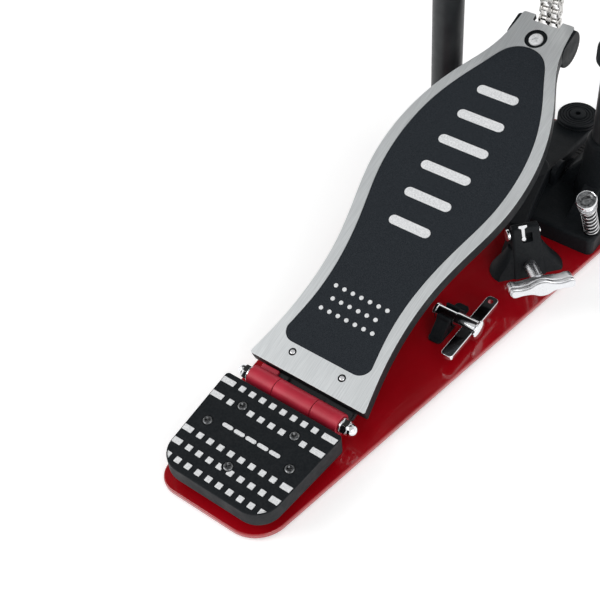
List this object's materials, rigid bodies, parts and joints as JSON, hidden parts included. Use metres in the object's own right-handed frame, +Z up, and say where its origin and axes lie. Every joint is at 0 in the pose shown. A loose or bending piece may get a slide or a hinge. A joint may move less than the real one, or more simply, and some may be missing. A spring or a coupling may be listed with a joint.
{
  "type": "bass drum pedal",
  "caption": "Chain-drive bass drum pedal on a flat base plate, with a tilting footboard, swinging beater, hoop clamp and floor spurs.",
  "frame": {"origin": "on the floor under the hinge pin, on the footboard's centre plane", "axes": "+X is the player's right, +Y runs forward to the drum, +Z is up"},
  "size_m": [0.1702, 0.3645, 0.3408],
  "materials": {
    "red_enamel": "gloss enamel on steel",
    "rubber": "ribbed rubber",
    "black_casting": "textured black paint on an aluminium casting",
    "light_grip": "light grey raised grip",
    "chrome": "polished",
    "crimson_metal": "crimson anodised",
    "silver_rim": "brushed top rim with dark grey side walls",
    "black_insert": "fine grained black",
    "black_steel": "satin black paint on steel",
    "steel": "bright steel",
    "nickel_chain": "nickel plated",
    "spring_steel": "plated spring wire",
    "felt": "dense felt",
    "black_plastic": "moulded",
    "grey_plastic": "moulded"
  },
  "bodies": {
    "root": {"base_plate": "red_enamel", "base_grip_pad": "rubber", "hoop_pad": "rubber", "heel_plate": "black_casting", "heel_grip_studs": "light_grip", "heel_screws": "steel", "heel_hinge_block": "crimson_metal", "hinge_pin": "steel", "hinge_nuts": "chrome", "pedestal_casting": "black_casting", "post_set_screws": "steel", "shaft_bearings": "steel", "left_post": "black_steel", "right_post": "black_steel", "left_bearing_housing": "black_casting", "right_bearing_housing": "black_casting", "spring_bracket": "black_casting", "spring_tension_rod": "chrome", "return_spring": "spring_steel", "clamp_block": "black_casting", "clamp_cross_pin": "chrome", "clamp_pivot_pin": "steel", "key_clip": "black_steel", "left_spur_spring": "spring_steel", "right_spur_spring": "spring_steel"},
    "footboard": {"footboard": "silver_rim", "footboard_insert": "black_insert", "insert_grip_marks": "light_grip", "footboard_rivets": "steel", "footboard_hinge_leaf": "crimson_metal", "toe_screw": "chrome"},
    "drive_shaft": {"hex_shaft": "steel", "sprocket": "steel", "beater_hub": "steel", "drive_set_screws": "chrome", "spring_rocker": "steel", "rocker_pin": "chrome", "chain_wrapped": "nickel_chain"},
    "chain_link_3": {"chain_link_3": "nickel_chain"},
    "chain_link_2": {"chain_link_2": "nickel_chain"},
    "chain_link_1": {"chain_link_1": "nickel_chain"},
    "chain_run": {"chain_run": "nickel_chain", "chain_toe_pin": "nickel_chain"},
    "beater_rod": {"beater_rod": "chrome", "beater_nut": "chrome"},
    "beater_head": {"beater_core": "black_plastic", "beater_felt": "felt", "beater_face": "grey_plastic"},
    "spring_hook": {"spring_top_hook": "steel"},
    "tension_nut": {"spring_tension_nut": "chrome"},
    "clamp_wedge": {"clamp_wedge": "chrome"},
    "clamp_wing_screw": {"clamp_wing_screw": "chrome"},
    "clamp_arm": {"clamp_arm": "black_casting", "clamp_foot": "rubber", "clamp_foot_screw": "black_steel"},
    "left_spur_washer": {"left_spur_washer": "steel"},
    "left_spur": {"left_spur": "chrome"},
    "right_spur_washer": {"right_spur_washer": "steel"},
    "right_spur": {"right_spur": "chrome"},
    "drum_key": {"drum_key": "chrome"}
  },
  "joints": [
    {"name": "shaft_turn", "type": "hinge", "parent": "root", "child": "drive_shaft", "pos_m": [0, 0.2321, 0.1742], "axis": [-1, 0, 0], "range_deg": [0, 48], "stiffness_Nm_per_rad": 0.5, "springref_deg": -51.57},
    {"name": "footboard_hinge", "type": "hinge", "parent": "root", "child": "footboard", "pos_m": [0, 0, 0.018], "axis": [-1, 0, 0], "range_deg": [0, 4.2]},
    {"name": "chain_bend_3", "type": "hinge", "parent": "drive_shaft", "child": "chain_link_3", "pos_m": [0, 0.24671, 0.19106], "axis": [-1, 0, 0], "range_deg": [-11, 0]},
    {"name": "chain_bend_2", "type": "hinge", "parent": "chain_link_3", "child": "chain_link_2", "pos_m": [0, 0.25087, 0.18626], "axis": [-1, 0, 0], "range_deg": [-17, 0]},
    {"name": "chain_bend_1", "type": "hinge", "parent": "chain_link_2", "child": "chain_link_1", "pos_m": [0, 0.25351, 0.18049], "axis": [-1, 0, 0], "range_deg": [-17, 0]},
    {"name": "chain_bend_0", "type": "hinge", "parent": "chain_link_1", "child": "chain_run", "pos_m": [0, 0.25441, 0.1742], "axis": [-1, 0, 0], "range_deg": [-9, 0]},
    {"name": "beater_height", "type": "slide", "parent": "drive_shaft", "child": "beater_rod", "axis": [0, -0.6691, 0.7431], "range_m": [-0.04, 0.012]},
    {"name": "beater_turn", "type": "hinge", "parent": "beater_rod", "child": "beater_head", "pos_m": [-0.02, 0.12637, 0.30776], "axis": [0, -0.6691, 0.7431], "range_deg": [0, 180]},
    {"name": "spring_stretch", "type": "slide", "parent": "root", "child": "spring_hook", "axis": [0, 0, 1], "range_m": [0, 0.0165], "deforming": ["return_spring"]},
    {"name": "tension_nut_turn", "type": "hinge", "parent": "root", "child": "tension_nut", "pos_m": [0.08, 0.21383, 0.107], "axis": [0, 0, 1], "range_deg": [-720, 720]},
    {"name": "clamp_wedge_slide", "type": "slide", "parent": "root", "child": "clamp_wedge", "axis": [-0.7547, 0.6561, 0], "range_m": [0, 0.00625]},
    {"name": "clamp_screw_turn", "type": "hinge", "parent": "root", "child": "clamp_wing_screw", "pos_m": [0.0505, 0.1567, 0.0115], "axis": [-0.5826, 0.6943, -0.4226], "range_deg": [0, 1800]},
    {"name": "toe_clamp_tilt", "type": "hinge", "parent": "root", "child": "clamp_arm", "pos_m": [0.0145, 0.226, 0.023], "axis": [-1, 0, 0], "range_deg": [0, 4.6]},
    {"name": "left_spur_advance", "type": "slide", "parent": "root", "child": "left_spur_washer", "axis": [0, 0.3843, -0.9232], "range_m": [-0.0013, 0.009], "deforming": ["left_spur_spring"]},
    {"name": "left_spur_turn", "type": "hinge", "parent": "left_spur_washer", "child": "left_spur", "pos_m": [-0.05, 0.203, 0.017], "axis": [0, 0.3843, -0.9232], "range_deg": [-380, 2600]},
    {"name": "right_spur_advance", "type": "slide", "parent": "root", "child": "right_spur_washer", "axis": [0, 0.3843, -0.9232], "range_m": [-0.0013, 0.009], "deforming": ["right_spur_spring"]},
    {"name": "right_spur_turn", "type": "hinge", "parent": "right_spur_washer", "child": "right_spur", "pos_m": [0.0672, 0.1975, 0.017], "axis": [0, 0.3843, -0.9232], "range_deg": [-380, 2600]},
    {"name": "drum_key_lift", "type": "slide", "parent": "root", "child": "drum_key", "axis": [0, 0, 1], "range_m": [0, 0.015]}
  ],
  "couplings": [
    {"joint": "footboard_hinge", "follows": "shaft_turn", "ratio": 0.085851},
    {"joint": "chain_bend_3", "follows": "shaft_turn", "ratio": -0.21161},
    {"joint": "chain_bend_2", "follows": "shaft_turn", "ratio": -0.34091},
    {"joint": "chain_bend_1", "follows": "shaft_turn", "ratio": -0.34091},
    {"joint": "chain_bend_0", "follows": "shaft_turn", "ratio": -0.17045},
    {"joint": "spring_stretch", "follows": "shaft_turn", "m_per_rad": 0.01942},
    {"joint": "clamp_screw_turn", "follows": "clamp_wedge_slide", "rad_per_m": 5026.5},
    {"joint": "toe_clamp_tilt", "follows": "clamp_wedge_slide", "rad_per_m": 12.566},
    {"joint": "left_spur_turn", "follows": "left_spur_advance", "rad_per_m": 5026.5},
    {"joint": "right_spur_turn", "follows": "right_spur_advance", "rad_per_m": 5026.5}
  ]
}
